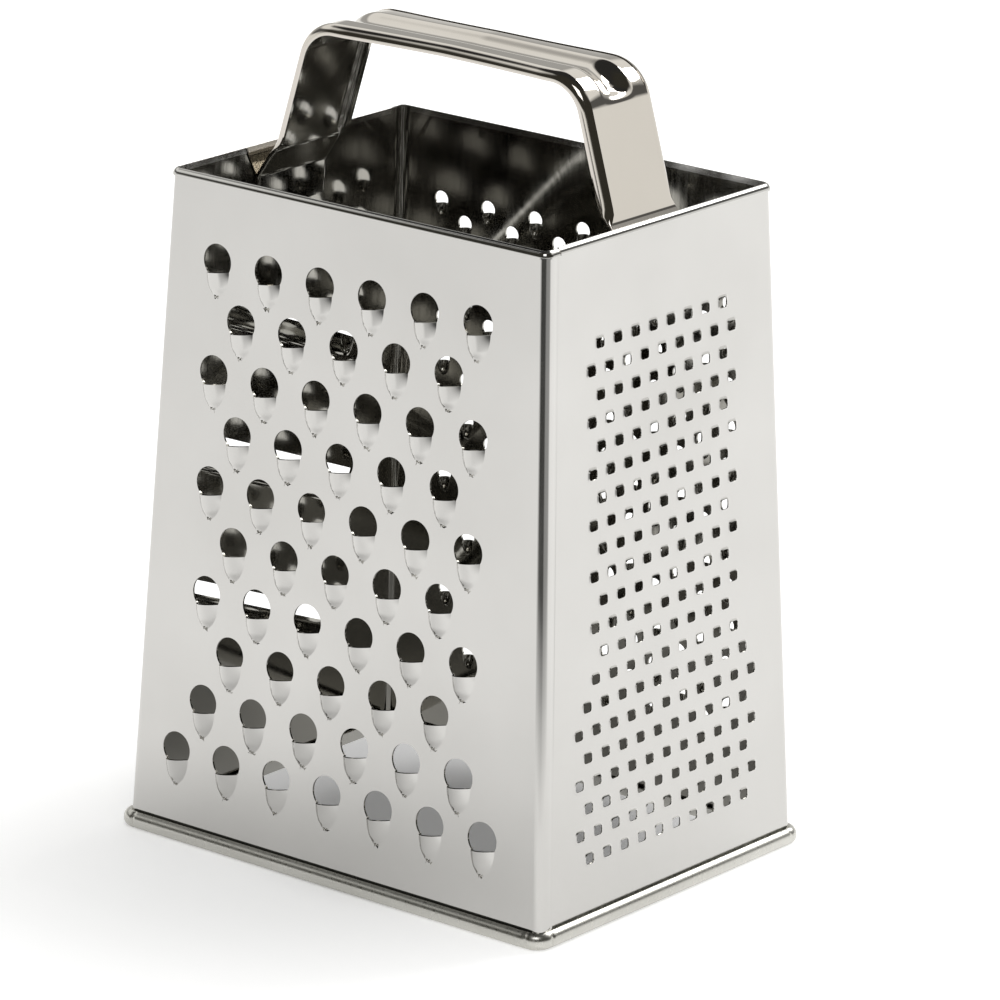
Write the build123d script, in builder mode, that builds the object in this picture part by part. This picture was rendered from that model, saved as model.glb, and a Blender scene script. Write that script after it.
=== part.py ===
# Four-sided kitchen grater of bright sheet steel, standing on a rolled base rim.
# Millimetres, +Z up. The origin is the middle of the footprint, on the surface it stands on.
# The coarse side faces -Y, the fine side +X, the medium side +Y and the slicing side -X.
import math
import os
from build123d import *

# Body, measured over the outside of the sheets
base_width = 127.0
base_depth = 98.0
top_width = 112.0
top_depth = 85.0
body_height = 164.0
sheet = 0.5
sheet_foot = 1.0            # bottom edge of the sheets above the standing surface
fold_radius = 2.0
seam_fold_radius = 1.6
seam_flange = 4.4           # strip of each wide side that laps over the narrow side next to it
seam_lip = 3.0              # edge of each narrow side, turned in behind the wide side
hem_height = 1.8
lap_clearance = 0.4
overrun = 5.0               # how far cutting tools pass the faces they cut

# Base rim
rim_height = 4.2
rim_proud = 2.3
rim_corner_radius = 5.0
rim_edge_round = 1.9
rim_round_sides = 2         # straight sides that make up each rounded edge
rim_inner_leg = 0.8
rim_inner_height = 3.2
rim_slot_clearance = 0.15

# Handle, one ribbed strap
strap = 0.8
leg_width = 25.0
grip_width = 23.0
flange_depth = 2.6          # edges of the strap turned down
handle_rise = 33.0          # top of the grip above the body
crown_drop = 0.4            # fall of the grip from its middle to its shoulders
leg_set_in = 4.4            # foot of each leg inside the wall next to it
shoulder_set_in = 9.9       # shoulders further in than the feet of the legs
shoulder_radius = 8.5
crown_radius = 120.0
foot_bend_radius = 2.5
foot_below_top = 7.5        # top of the foot's flat pad below the top of the body
foot_reach = 7.0            # height over which the foot crosses to the wall
foot_pad = 9.0              # flat pad that lies on the inside of the wall
groove_half_width = 2.0
groove_depth = 1.0
groove_spacing = 7.2
groove_drop = 8.0           # the grooves stop this far below the top of the grip
waist_half_length = 30.0

# Coarse side: rows of round cutters over raised scoops
coarse_pitch = 15.73
coarse_row_pitch = 13.5
coarse_first_row = 144.0
coarse_row_counts = (6, 5, 6, 5, 6, 5, 6, 5, 6, 7)
coarse_shift = 1.6          # the field sits this far towards the slicing side
coarse_hole = 8.5
coarse_hole_sides = 6       # straight sides that make up the round edge of a coarse hole
coarse_mouth_drop = 2.4     # mouth of the scoop below the middle of its hole
scoop_length = 6.3
scoop_height = 2.3
scoop_mouth_width = 7.0
scoop_nose_width = 2.0
scoop_top_share = 0.5       # flat top of a scoop, as a share of its width

# Fine side: rows of small pierced holes
fine_pitch = 6.59
fine_row_pitch = 6.1
fine_first_row = 139.0
fine_row_counts = (8, 9, 8, 9, 8, 9, 8, 9, 8, 9, 8, 9, 8, 9, 10, 11, 10, 11, 10, 11, 10)
fine_hole_width = 3.0
fine_hole_height = 2.4

# Medium side: rows of middling holes
medium_pitch = 14.65
medium_row_pitch = 5.05
medium_first_row = 142.0
medium_row_counts = (7, 6) * 12
medium_hole_width = 4.2
medium_hole_height = 3.4

# Slicing side: slanted slots, each with a raised blade below it
slicer_middle = 84.4        # height of the middle slot
slicer_spacing = 37.6
slicer_count = 3
slicer_slant = 21.3         # degrees
slicer_length = 62.0
slicer_opening = 3.6
slicer_ramp = 9.0
slicer_lift = 1.8


def half_width(height):
    # Half the width over the narrow sides at a height
    return (base_width + (top_width - base_width) * height / body_height) / 2


def half_depth(height):
    # Half the depth over the wide sides at a height
    return (base_depth + (top_depth - base_depth) * height / body_height) / 2


def side_planes():
    # The outer faces of the body: origin at half height, X along the side, Z outwards
    middle = body_height / 2
    wide_lean = (base_depth - top_depth) / 2 / body_height
    narrow_lean = (base_width - top_width) / 2 / body_height
    return {
        "front": Plane((0, -half_depth(middle), middle), x_dir=(1, 0, 0), z_dir=(0, -1, wide_lean)),
        "right": Plane((half_width(middle), 0, middle), x_dir=(0, 1, 0), z_dir=(1, 0, narrow_lean)),
        "rear": Plane((0, half_depth(middle), middle), x_dir=(-1, 0, 0), z_dir=(0, 1, wide_lean)),
        "left": Plane((-half_width(middle), 0, middle), x_dir=(0, -1, 0), z_dir=(-1, 0, narrow_lean)),
    }


sides = side_planes()


def tapered_block(low, high, front, right, rear, left):
    # A solid between two heights whose sides stand off the body's outer faces by the given amounts
    offsets = {"front": front, "right": right, "rear": rear, "left": left}
    reach = 2 * (base_width + base_depth)
    with BuildPart(Plane.XY.offset(low)) as block:
        Box(reach, reach, high - low, align=(Align.CENTER, Align.CENTER, Align.MIN))
        for name, amount in offsets.items():
            split(bisect_by=sides[name].offset(amount), keep=Keep.BOTTOM)
    return block.part


def rising_edges(block):
    # The four slanted edges of a tapered block
    return [e for e in block.edges() if abs(e.tangent_at(0).Z) > 0.5]


def upright_edges(block, corner):
    # The slanted edge of a tapered block at one of its corners, given as signs of X and Y
    return [e for e in rising_edges(block) if e.center().X * corner[0] > 0 and e.center().Y * corner[1] > 0]


def rounded_block(low, high, front, right, rear, left, seam_radius, plain_radius):
    # The same block with three corners rounded: the lapped one right of the front, then the plain ones
    block = tapered_block(low, high, front, right, rear, left)
    block = fillet(upright_edges(block, (1, -1)), seam_radius)
    block = fillet(upright_edges(block, (-1, -1)) + upright_edges(block, (-1, 1)), plain_radius)
    return block


def lapped_sheet():
    # One folded sheet: a wide front, a narrow left side, the flange that laps the right side, the
    # lip behind the rear side, and the hem turned out along its top edge
    top = body_height
    outer = rounded_block(sheet_foot, top, 0, sheet, -sheet, 0, seam_fold_radius, fold_radius)
    inner = rounded_block(sheet_foot - overrun, top + overrun, -sheet, 0, -2 * sheet, -sheet,
                          seam_fold_radius - sheet, fold_radius - sheet)
    hem = rounded_block(top - hem_height, top, sheet, 2 * sheet, -sheet, sheet,
                        seam_fold_radius + sheet, fold_radius + sheet)
    hem_stop = tapered_block(top - hem_height, top, overrun, 2 * sheet,
                             -seam_flange - lap_clearance, overrun)
    beyond = tapered_block(sheet_foot - overrun, top + overrun, -seam_flange, overrun, overrun, -seam_lip)
    with BuildPart() as folded:
        add(hem)
        add(hem_stop, mode=Mode.INTERSECT)
        add(outer)
        add(inner, mode=Mode.SUBTRACT)
        add(beyond, mode=Mode.SUBTRACT)
    return folded.part


def up_side(side, height):
    # Distance up a side's plane from its origin to a height
    return (height - body_height / 2) / side.y_dir.Z


def row_places(side, rows, pitch, row_pitch, first_height, shift):
    # Places of a staggered field of cutters on a side, top row first
    top = up_side(side, first_height)
    return [
        side.location * Location((shift + pitch * (column - (count - 1) / 2), top - row_pitch * row, 0))
        for row, count in enumerate(rows)
        for column in range(count)
    ]


def plane_through(first, second, third):
    # The plane through three corners that run anticlockwise as seen from outside
    outwards = (Vector(*second) - Vector(*first)).cross(Vector(*third) - Vector(*first))
    return Plane(origin=first, z_dir=outwards)


def scoop_block(inset, mouth):
    # The raised scoop under a coarse hole: a ramp and two flanks that run down to a narrow nose. It is
    # smaller all round by the inset. X runs along the side, Y up it and Z out of it, from the hole's middle
    high = -coarse_mouth_drop
    low = high - scoop_length
    top_half = scoop_mouth_width * scoop_top_share / 2
    mouth_foot = (scoop_mouth_width / 2, high, 0)
    mouth_top = (top_half, high, scoop_height)
    nose_foot = (scoop_nose_width / 2, low, 0)
    flank = plane_through(mouth_foot, mouth_top, nose_foot)
    faces = [
        plane_through(mouth_top, (-top_half, high, scoop_height), nose_foot),
        flank,
        Plane(origin=(-mouth_foot[0], high, 0), z_dir=(-flank.z_dir.X, flank.z_dir.Y, flank.z_dir.Z)),
    ]
    reach = 2 * (scoop_mouth_width + scoop_length)
    with BuildPart() as block:
        with Locations((0, mouth, -sheet - inset)):
            Box(reach, reach, reach, align=(Align.CENTER, Align.MAX, Align.MIN))
        for face in faces:
            split(bisect_by=face.offset(-inset), keep=Keep.BOTTOM)
    return block.part


def coarse_void():
    # The round hole, cut straight across at the scoop's mouth, with the hollow inside the scoop
    half = coarse_hole / 2
    start = -math.asin(coarse_mouth_drop / half)
    turn = math.pi - 2 * start
    angles = [start + turn * step / coarse_hole_sides for step in range(coarse_hole_sides + 1)]
    crown = [(half * math.cos(angle), half * math.sin(angle)) for angle in angles]
    hollow = scoop_block(sheet, sheet - coarse_mouth_drop)
    with BuildPart() as void:
        with BuildSketch(Plane.XY.offset(-sheet - overrun)):
            Polygon(crown, align=None)
        extrude(amount=sheet + overrun)
        add(hollow)
    return void.part


def slicer_blade():
    # The wedge that carries a slicing edge, and the slot with the hollow under it
    wedge = [(-slicer_ramp, -sheet), (-slicer_ramp, 0), (-slicer_opening, slicer_lift),
             (-slicer_opening, -sheet)]
    hollow = [(-slicer_ramp, -sheet), (-slicer_opening, slicer_lift - sheet), (-slicer_opening, 0),
              (0, 0), (0, -sheet - overrun), (-slicer_ramp, -sheet - overrun)]
    with BuildPart() as blade:
        with BuildSketch(Plane.YZ):
            Polygon(wedge, align=None)
        extrude(amount=slicer_length / 2, both=True)
    with BuildPart() as slot:
        with BuildSketch(Plane.YZ):
            Polygon(hollow, align=None)
        extrude(amount=slicer_length / 2 - sheet, both=True)
    return blade.part, slot.part


def square_punch(width, height):
    # A small four-sided hole through a side
    with BuildPart() as punch:
        Box(width, height, 2 * overrun)
    return punch.part


def swept_bead(depth):
    # A half-round bead round the foot of the body, this deep from its outer line inwards
    turns = [math.pi / 2 * step / rim_round_sides for step in range(rim_round_sides + 1)]
    lower = [(rim_edge_round * (math.sin(turn) - 1), rim_edge_round * (1 - math.cos(turn))) for turn in turns]
    upper = [(across, rim_height - high) for across, high in lower[::-1]]
    with BuildSketch() as outline:
        RectangleRounded(base_width + 2 * rim_proud, base_depth + 2 * rim_proud, rim_corner_radius)
    path = outline.sketch.wires()[0]
    along = path % 0
    with BuildPart() as bead:
        with BuildSketch(Plane(origin=path @ 0, x_dir=along.cross(Vector(0, 0, 1)), z_dir=-along)):
            Polygon([(-depth, 0)] + lower + upper + [(-depth, rim_height)], align=None)
        sweep(path=path)
    return bead.part


def over_and_down(rising):
    # The strap's outer line: up through these points, over the top and down the same way
    return rising + [(0, handle_height)] + [(-x, z) for x, z in reversed(rising)]


def arched_band(low, rising, radii, start, depth):
    # A band as wide as the legs that follows the outer line, between two depths inside it
    points = over_and_down(rising)
    with BuildPart() as band:
        with BuildSketch(Plane.XZ):
            with BuildLine():
                FilletPolyline(points, radius=radii + [crown_radius] + radii[::-1])
                Line(points[-1], points[0])
            make_face()
            if start > 0:
                offset(amount=-start, mode=Mode.REPLACE)
            offset(amount=start - depth, mode=Mode.SUBTRACT)
        extrude(amount=leg_width / 2, both=True)
        split(bisect_by=Plane.XY.offset(low), keep=Keep.TOP)
    return band.part


def ribbed_line(depth):
    # The grip's cross-section from edge to edge at a depth inside its outer skin, dipping at each groove
    flank = math.atan2(groove_depth, groove_half_width)
    spread = depth * math.tan(flank / 2)
    lowest = -groove_depth - depth / math.cos(flank)
    line = [(-leg_width / 2, -depth)]
    for middle in (-groove_spacing / 2, groove_spacing / 2):
        line += [
            (middle - groove_half_width - spread, -depth),
            (middle, lowest),
            (middle + groove_half_width + spread, -depth),
        ]
    return line + [(leg_width / 2, -depth)]


def ribbed_grip(rising, radii):
    # The grip's cross-section, with its two grooves, carried along the outer line
    with BuildLine(Plane.XZ) as outer_line:
        FilletPolyline(over_and_down(rising), radius=radii + [crown_radius] + radii[::-1])
    path = outer_line.wire()
    with BuildPart() as grip:
        with BuildSketch(Plane(origin=path @ 0, x_dir=(0, -1, 0), z_dir=path % 0)):
            Polygon(ribbed_line(0) + ribbed_line(strap)[::-1], align=None)
        sweep(path=path)
        split(bisect_by=Plane.XY.offset(groove_end), keep=Keep.TOP)
    return grip.part


def waisted_block(inset):
    # The strap's outline from above, as wide as the legs at its ends and narrower in the middle
    bite = segment_radius(2 * waist_half_length, (leg_width - grip_width) / 2)
    with BuildPart() as block:
        with BuildSketch():
            Rectangle(base_width + top_width, leg_width - 2 * inset)
            with Locations((0, grip_width / 2 + bite), (0, -grip_width / 2 - bite)):
                Circle(bite + inset, mode=Mode.SUBTRACT)
        extrude(amount=handle_height + overrun)
    return block.part


def wall_inside(height):
    # Half the width between the inner faces of the narrow sides at a height
    lean = (base_width - top_width) / 2 / body_height
    return half_width(height) - sheet * math.sqrt(1 + lean * lean)


def segment_radius(width, height):
    # Radius of an arc with this chord and this rise
    return (width * width / 4 + height * height) / (2 * height)


# Coarse and slicing sheet
coarse_places = row_places(sides["front"], coarse_row_counts, coarse_pitch, coarse_row_pitch,
                           coarse_first_row, -coarse_shift)
middle_slot = up_side(sides["left"], slicer_middle)
slicer_places = [
    sides["left"].location
    * Location((0, middle_slot + slicer_spacing * (row - (slicer_count - 1) / 2), 0), (0, 0, slicer_slant))
    for row in range(slicer_count)
]
folded_sheet = lapped_sheet()
scoop = scoop_block(0, -coarse_mouth_drop)
coarse_cut = coarse_void()
blade_wedge, blade_slot = slicer_blade()

with BuildPart() as coarse_slicer_sheet:
    add(folded_sheet)
    with Locations(*coarse_places):
        add(scoop)
    with Locations(*slicer_places):
        add(blade_wedge)
    with Locations(*coarse_places):
        add(coarse_cut, mode=Mode.SUBTRACT)
    with Locations(*slicer_places):
        add(blade_slot, mode=Mode.SUBTRACT)

# Fine and medium sheet, folded alike and turned half round
fine_places = row_places(sides["right"], fine_row_counts, fine_pitch, fine_row_pitch, fine_first_row, 0)
medium_places = row_places(sides["rear"], medium_row_counts, medium_pitch, medium_row_pitch, medium_first_row, 0)
fine_punch = square_punch(fine_hole_width, fine_hole_height)
medium_punch = square_punch(medium_hole_width, medium_hole_height)

with BuildPart() as fine_medium_sheet:
    add(folded_sheet, rotation=(0, 0, 180))
    with Locations(*fine_places):
        add(fine_punch, mode=Mode.SUBTRACT)
    with Locations(*medium_places):
        add(medium_punch, mode=Mode.SUBTRACT)

# Base rim: a half-round bead outside the sheets and a low leg inside them, with a slot between
slot_depth = 2 * sheet + rim_slot_clearance
leg_depth = slot_depth + rim_inner_leg
rim_top = rim_height + overrun
rim_bead = swept_bead(rim_proud + leg_depth)
sheet_room = tapered_block(sheet_foot, rim_top, 0, 0, 0, 0)
flange_room = tapered_block(sheet_foot, rim_top, 0, sheet, 0, 0) - tapered_block(
    sheet_foot - overrun, rim_top + overrun, -seam_flange - lap_clearance, overrun, overrun, overrun)
inner_leg = tapered_block(0, rim_inner_height, *[-slot_depth] * 4)
inner_leg = chamfer(rising_edges(inner_leg), fold_radius)
rim_hollow = tapered_block(-overrun, rim_top, *[-leg_depth] * 4)
rim_hollow = chamfer(rising_edges(rim_hollow), fold_radius - rim_inner_leg)

with BuildPart() as base_rim:
    add(rim_bead)
    add(sheet_room, mode=Mode.SUBTRACT)
    add(flange_room, mode=Mode.SUBTRACT)
    add(flange_room, rotation=(0, 0, 180), mode=Mode.SUBTRACT)
    add(inner_leg)
    add(rim_hollow, mode=Mode.SUBTRACT)

# Handle: one strap with its long edges turned down, two grooves along the grip and a flat foot at each
# end that lies on the inside of a narrow side
handle_height = body_height + handle_rise
groove_end = handle_height - groove_drop
foot_high = body_height - foot_below_top
foot_low = foot_high - foot_pad
leg_low = foot_high + foot_reach
leg_foot_half_span = wall_inside(body_height) - leg_set_in
shoulder_half_span = leg_foot_half_span - shoulder_set_in
shoulder_height = handle_height - crown_drop
leg_slope = (leg_foot_half_span - shoulder_half_span) / (shoulder_height - leg_low)
shoulder = (shoulder_half_span, shoulder_height)
pad_tail = (wall_inside(foot_low - overrun), foot_low - overrun)
pad_top = (wall_inside(foot_high), foot_high)
leg_tail = (leg_foot_half_span + leg_slope * overrun, leg_low - overrun)
grip_tail = (shoulder_half_span + leg_slope * (shoulder_height - groove_end + strap), groove_end - strap)
whole_strap = arched_band(foot_low, [pad_tail, pad_top, (leg_foot_half_span, leg_low), shoulder],
                          [foot_bend_radius, foot_bend_radius, shoulder_radius], 0, strap)
turned_edges = arched_band(leg_low, [leg_tail, shoulder], [shoulder_radius], strap / 2, flange_depth)
edge_flanges = turned_edges - waisted_block(strap)
grip = ribbed_grip([grip_tail, shoulder], [shoulder_radius])
strap_outline = waisted_block(0)

with BuildPart() as handle:
    add(whole_strap)
    split(bisect_by=Plane.XY.offset(groove_end), keep=Keep.BOTTOM)
    add(grip)
    add(edge_flanges)
    add(strap_outline, mode=Mode.INTERSECT)

coarse_slicer_sheet.part.label = "coarse_slicer_sheet"
fine_medium_sheet.part.label = "fine_medium_sheet"
base_rim.part.label = "base_rim"
handle.part.label = "handle"

os.makedirs("parts", exist_ok=True)
export_step(coarse_slicer_sheet.part, "parts/coarse_slicer_sheet.step")
export_step(fine_medium_sheet.part, "parts/fine_medium_sheet.step")
export_step(base_rim.part, "parts/base_rim.step")
export_step(handle.part, "parts/handle.step")
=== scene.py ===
import math
import random

import bmesh
import bpy
from mathutils import Matrix, Vector
from mathutils.geometry import delaunay_2d_cdt


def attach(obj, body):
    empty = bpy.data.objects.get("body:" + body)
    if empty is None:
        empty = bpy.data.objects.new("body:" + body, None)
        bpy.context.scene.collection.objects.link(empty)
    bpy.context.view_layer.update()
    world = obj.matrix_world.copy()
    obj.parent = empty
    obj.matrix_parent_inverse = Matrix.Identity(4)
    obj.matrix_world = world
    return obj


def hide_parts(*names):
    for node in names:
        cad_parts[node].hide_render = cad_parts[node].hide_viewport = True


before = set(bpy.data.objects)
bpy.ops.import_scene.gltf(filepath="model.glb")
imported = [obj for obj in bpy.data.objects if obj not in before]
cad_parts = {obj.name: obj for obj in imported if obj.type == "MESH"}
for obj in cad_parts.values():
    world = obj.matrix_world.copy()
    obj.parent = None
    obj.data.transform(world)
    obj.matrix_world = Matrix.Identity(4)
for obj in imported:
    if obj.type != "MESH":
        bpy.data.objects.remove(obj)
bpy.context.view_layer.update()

mm = 0.001    # every size below is in millimetres, Blender works in metres
closeEnough = 1e-6    # points this near to each other are one

# The body: four leaning sides, sizes over the outside of the sheets
body = {
    "baseWidth": 127.0,
    "baseDepth": 98.0,
    "topWidth": 112.0,
    "topDepth": 85.0,
    "height": 164.0,
    "foot": 1.0,             # lower edge of the sheets
    "sheet": 0.5,
    "foldRadius": 2.0,
    "seamRadius": 2.0,
    "flange": 4.4,           # strip that laps over the next side
    "crease": 1.0,           # width of the pressed line beside the flange's edge
    "creaseShape": ((0.0, 0.0), (0.2, 0.04), (0.5, 0.09), (0.95, 0.04), (1.1, 0.0)),    # share of it, depth
    "lip": 3.0,              # edge tucked in behind the next side
    "burrThickness": 0.3,    # share of the sheet's thickness left at the torn edges
    "sharpAngle": 58,        # degrees, bends sharper than this show as edges
    "levels": 40,            # rows of faces up a fold
    "foldSteps": 6,
    "edgeSteps": 34,         # points along the top and bottom edge of a side
}


def halfWidth(z):
    return (body["baseWidth"] + (body["topWidth"] - body["baseWidth"]) * z / body["height"]) / 2


def halfDepth(z):
    return (body["baseDepth"] + (body["topDepth"] - body["baseDepth"]) * z / body["height"]) / 2


def sideFrame(side):
    # Outer face of the wide front or the narrow left side: X along it, Y up it, Z outwards
    middle = body["height"] / 2
    if side == "wide":
        lean = (body["baseDepth"] - body["topDepth"]) / 2 / body["height"]
        along, out, at = Vector((1, 0, 0)), Vector((0, -1, lean)), Vector((0, -halfDepth(middle), middle))
    else:
        lean = (body["baseWidth"] - body["topWidth"]) / 2 / body["height"]
        along, out, at = Vector((0, -1, 0)), Vector((-1, 0, lean)), Vector((-halfWidth(middle), 0, middle))
    out.normalize()
    up = out.cross(along)
    return Matrix((along, up, out)).transposed().to_4x4(), at, up


def heightLevels(low, high, count):
    return [low + (high - low) * k / count for k in range(count + 1)]


# Finishes

def steelFinish(name, finish):
    material = bpy.data.materials.new(name)
    material.use_nodes = True
    nodes, links = material.node_tree.nodes, material.node_tree.links
    shader = nodes["Principled BSDF"]
    shader.inputs["Metallic"].default_value = 1.0
    place = nodes.new("ShaderNodeTexCoord")

    def noise(scale, detail, stretch):
        mapping = nodes.new("ShaderNodeMapping")
        mapping.inputs["Scale"].default_value = stretch
        texture = nodes.new("ShaderNodeTexNoise")
        texture.inputs["Scale"].default_value = scale
        texture.inputs["Detail"].default_value = detail
        links.new(place.outputs["Object"], mapping.inputs["Vector"])
        links.new(mapping.outputs["Vector"], texture.inputs["Vector"])
        return texture.outputs["Fac"]

    def ranged(value, low, high):
        spread = nodes.new("ShaderNodeMapRange")
        spread.inputs["From Min"].default_value = finish["noiseLow"]
        spread.inputs["From Max"].default_value = finish["noiseHigh"]
        spread.inputs["To Min"].default_value = low
        spread.inputs["To Max"].default_value = high
        links.new(value, spread.inputs["Value"])
        return spread.outputs["Result"]

    cloudy = noise(finish["cloudScale"], finish["cloudDetail"], (1, 1, 1))
    grain = noise(finish["grainScale"], finish["grainDetail"], finish["grainStretch"])
    tint = nodes.new("ShaderNodeMix")
    tint.data_type = "RGBA"
    tint.inputs["A"].default_value = (*finish["light"], 1)
    tint.inputs["B"].default_value = (*finish["dark"], 1)
    links.new(ranged(cloudy, 0.0, 1.0), tint.inputs["Factor"])
    links.new(tint.outputs["Result"], shader.inputs["Base Color"])
    links.new(ranged(grain, *finish["roughness"]), shader.inputs["Roughness"])

    fine = nodes.new("ShaderNodeBump")
    fine.inputs["Strength"].default_value = finish["grainBump"]
    fine.inputs["Distance"].default_value = finish["grainDepth"] * mm
    links.new(grain, fine.inputs["Height"])
    wavy = nodes.new("ShaderNodeBump")
    wavy.inputs["Strength"].default_value = finish["waveBump"]
    wavy.inputs["Distance"].default_value = finish["waveDepth"] * mm
    links.new(noise(finish["waveScale"], finish["waveDetail"], (1, 1, 1)), wavy.inputs["Height"])
    links.new(fine.outputs["Normal"], wavy.inputs["Normal"])
    links.new(wavy.outputs["Normal"], shader.inputs["Normal"])
    return material


sheetFinish = {
    "light": (0.61, 0.60, 0.58),
    "dark": (0.56, 0.55, 0.53),
    "roughness": (0.09, 0.14),
    "noiseLow": 0.3,         # the stretch of the noise that is spread over the finish
    "noiseHigh": 0.7,
    "cloudScale": 22.0,
    "cloudDetail": 4.0,
    "grainScale": 900.0,
    "grainDetail": 6.0,
    "grainStretch": (1.0, 1.0, 0.06),
    "grainBump": 0.15,
    "grainDepth": 0.02,
    "waveScale": 28.0,
    "waveDetail": 1.0,
    "waveBump": 0.1,
    "waveDepth": 1.0,
}
# Painted shade: a darker base colour for the inner faces and cut edges of the sheets and the strap, standing
# in for the shade inside the box
paintedShadeInsideFinish = dict(sheetFinish, light=(0.36, 0.35, 0.32), dark=(0.30, 0.29, 0.26),
                    roughness=(0.05, 0.09), waveBump=0.12)
rimFinish = dict(sheetFinish, light=(0.66, 0.65, 0.61), dark=(0.56, 0.55, 0.51), roughness=(0.24, 0.36))
# Painted shade: a near-black finish for the crevice where the rim meets the sheets
crevicePaintedShadeFinish = dict(sheetFinish, light=(0.06, 0.06, 0.05), dark=(0.04, 0.04, 0.035), roughness=(0.3, 0.5))
strapFinish = dict(sheetFinish, light=(0.66, 0.62, 0.57), dark=(0.62, 0.58, 0.53),
                   roughness=(0.04, 0.08), waveBump=0.05, grainBump=0.08)

sheetSteel = steelFinish("brightSheetSteel", sheetFinish)
paintedShadeInsideSteel = steelFinish("paintedShadeInsideSteel", paintedShadeInsideFinish)
rimSteel = steelFinish("rimSteel", rimFinish)
crevicePaintedShadeSteel = steelFinish("crevicePaintedShadeSteel", crevicePaintedShadeFinish)
strapSteel = steelFinish("polishedStrapSteel", strapFinish)


# Patches: the pressed and pierced places, each in the plane of its side. "rim" is the closed line where
# a patch meets the flat sheet round it

def offsetLoop(loop, distance):
    # The same closed line, this far outside
    result = []
    for i, point in enumerate(loop):
        before, after = loop[i - 1], loop[(i + 1) % len(loop)]
        along = Vector((after[0] - before[0], after[1] - before[1])).normalized()
        result.append((point[0] + along.y * distance, point[1] - along.x * distance, 0.0))
    return result


def smoothStep(t):
    t = min(max(t, 0.0), 1.0)
    return t * t * (3 - 2 * t)


def varied(value, spread, chance):
    return value * chance.uniform(1 - spread, 1 + spread)


def gridFaces(grid):
    return [(upper[i], lower[i], lower[i + 1], upper[i + 1])
            for upper, lower in zip(grid, grid[1:]) for i in range(len(upper) - 1)]


def flankLine(grid):
    # Down the left flank of a raised form, round its nose and up the right flank
    return [row[0] for row in grid] + grid[-1][1:-1] + [row[-1] for row in reversed(grid)]


def addBorder(verts, faces, inner, width):
    # A flat strip outside a closed line, up to the patch's rim
    rim = []
    for point in offsetLoop([verts[i] for i in inner], width):
        rim.append(len(verts))
        verts.append(point)
    for k in range(len(inner)):
        n = (k + 1) % len(inner)
        faces.append((inner[k], rim[k], rim[n], inner[n]))
    return rim


def scoopPatch(cut, chance):
    # A round hole, cut straight across at the mouth of the raised scoop below it
    radius = varied(cut["hole"] / 2, cut["holeSpread"], chance)
    drop, length = cut["mouthDrop"], varied(cut["scoopLength"], cut["lengthSpread"], chance)
    height = varied(cut["scoopHeight"], cut["heightSpread"], chance)
    columns, rows, crown = cut["columns"], cut["rows"], cut["crown"]
    slant = cut["mouthSlant"]
    lowEnd, highEnd = drop + slant * radius, drop - slant * radius    # left and right end of the mouth
    mouthLeft, mouthRight = math.sqrt(radius ** 2 - lowEnd ** 2), math.sqrt(radius ** 2 - highEnd ** 2)
    verts, grid = [], []

    for j in range(rows + 1):
        t = (j / rows) ** cut["rowCurve"]
        taper = (1 - t ** cut["narrowing"]) ** cut["noseRound"]
        fall = 1 - (1 - cut["noseShare"]) * t
        close = 1 - smoothStep((t - cut["noseStart"]) / (1 - cut["noseStart"]))
        line = []
        for i in range(columns + 1):
            q = math.sin(math.pi / 2 * (2 * i / columns - 1))    # -1 at the left flank, 1 at the right
            mouth = mouthRight if q > 0 else mouthLeft
            half = cut["noseHalf"] + (mouth - cut["noseHalf"]) * taper
            edge = -highEnd if q > 0 else -lowEnd
            mouthLine = -drop + (edge + drop) * abs(q)
            noseLine = -drop - length * (1 + cut["noseBulge"] * t * (1 - q * q))
            arch = max(0.0, 1 - q * q) ** cut["rightArch" if q > 0 else "leftArch"]
            line.append(len(verts))
            verts.append((half * q, mouthLine * (1 - t) + noseLine * t, height * fall * close * arch))
        grid.append(line)
    faces = gridFaces(grid)

    # the hole's line, anticlockwise, joined to the scoop's
    inner = []
    start, end = -math.asin(highEnd / radius), math.pi + math.asin(lowEnd / radius)
    for k in range(1, crown):
        angle = start + (end - start) * k / crown
        inner.append(len(verts))
        verts.append((radius * math.cos(angle), radius * math.sin(angle), 0.0))
    inner += flankLine(grid)
    rim = addBorder(verts, faces, inner, cut["border"])
    return {"verts": verts, "faces": faces, "rim": rim, "thin": []}


def burrPatch(cut, chance):
    # A small punched hole with a torn, raised edge
    count, power = cut["points"], 2 / cut["squareness"]
    tall = varied(cut["burr"], cut["burrSpread"], chance)
    lean = chance.uniform(-cut["lean"], cut["lean"])
    rings, verts, faces = [], [], []
    for grow, share in cut["rings"]:
        ring = []
        for k in range(count):
            angle = 2 * math.pi * (k + 0.5) / count
            c, s = math.cos(angle), math.sin(angle)
            x = math.copysign(abs(c) ** power, c) * cut["holeWidth"] / 2
            y = math.copysign(abs(s) ** power, s) * cut["holeHeight"] / 2
            away = Vector((x, y)).normalized() * grow
            height = tall * share
            if share == 1:
                torn = 1 + cut["tooth"] * math.cos(4 * angle + math.pi) + lean * s
                height *= varied(torn, cut["jag"], chance)
            ring.append(len(verts))
            verts.append((x + away.x, y + away.y, height))
        rings.append(ring)
    for inner, outer in zip(rings, rings[1:]):
        for k in range(count):
            n = (k + 1) % count
            faces.append((inner[k], outer[k], outer[n], inner[n]))
    return {"verts": verts, "faces": faces, "rim": rings[-1], "thin": rings[0] + rings[1]}


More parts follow.
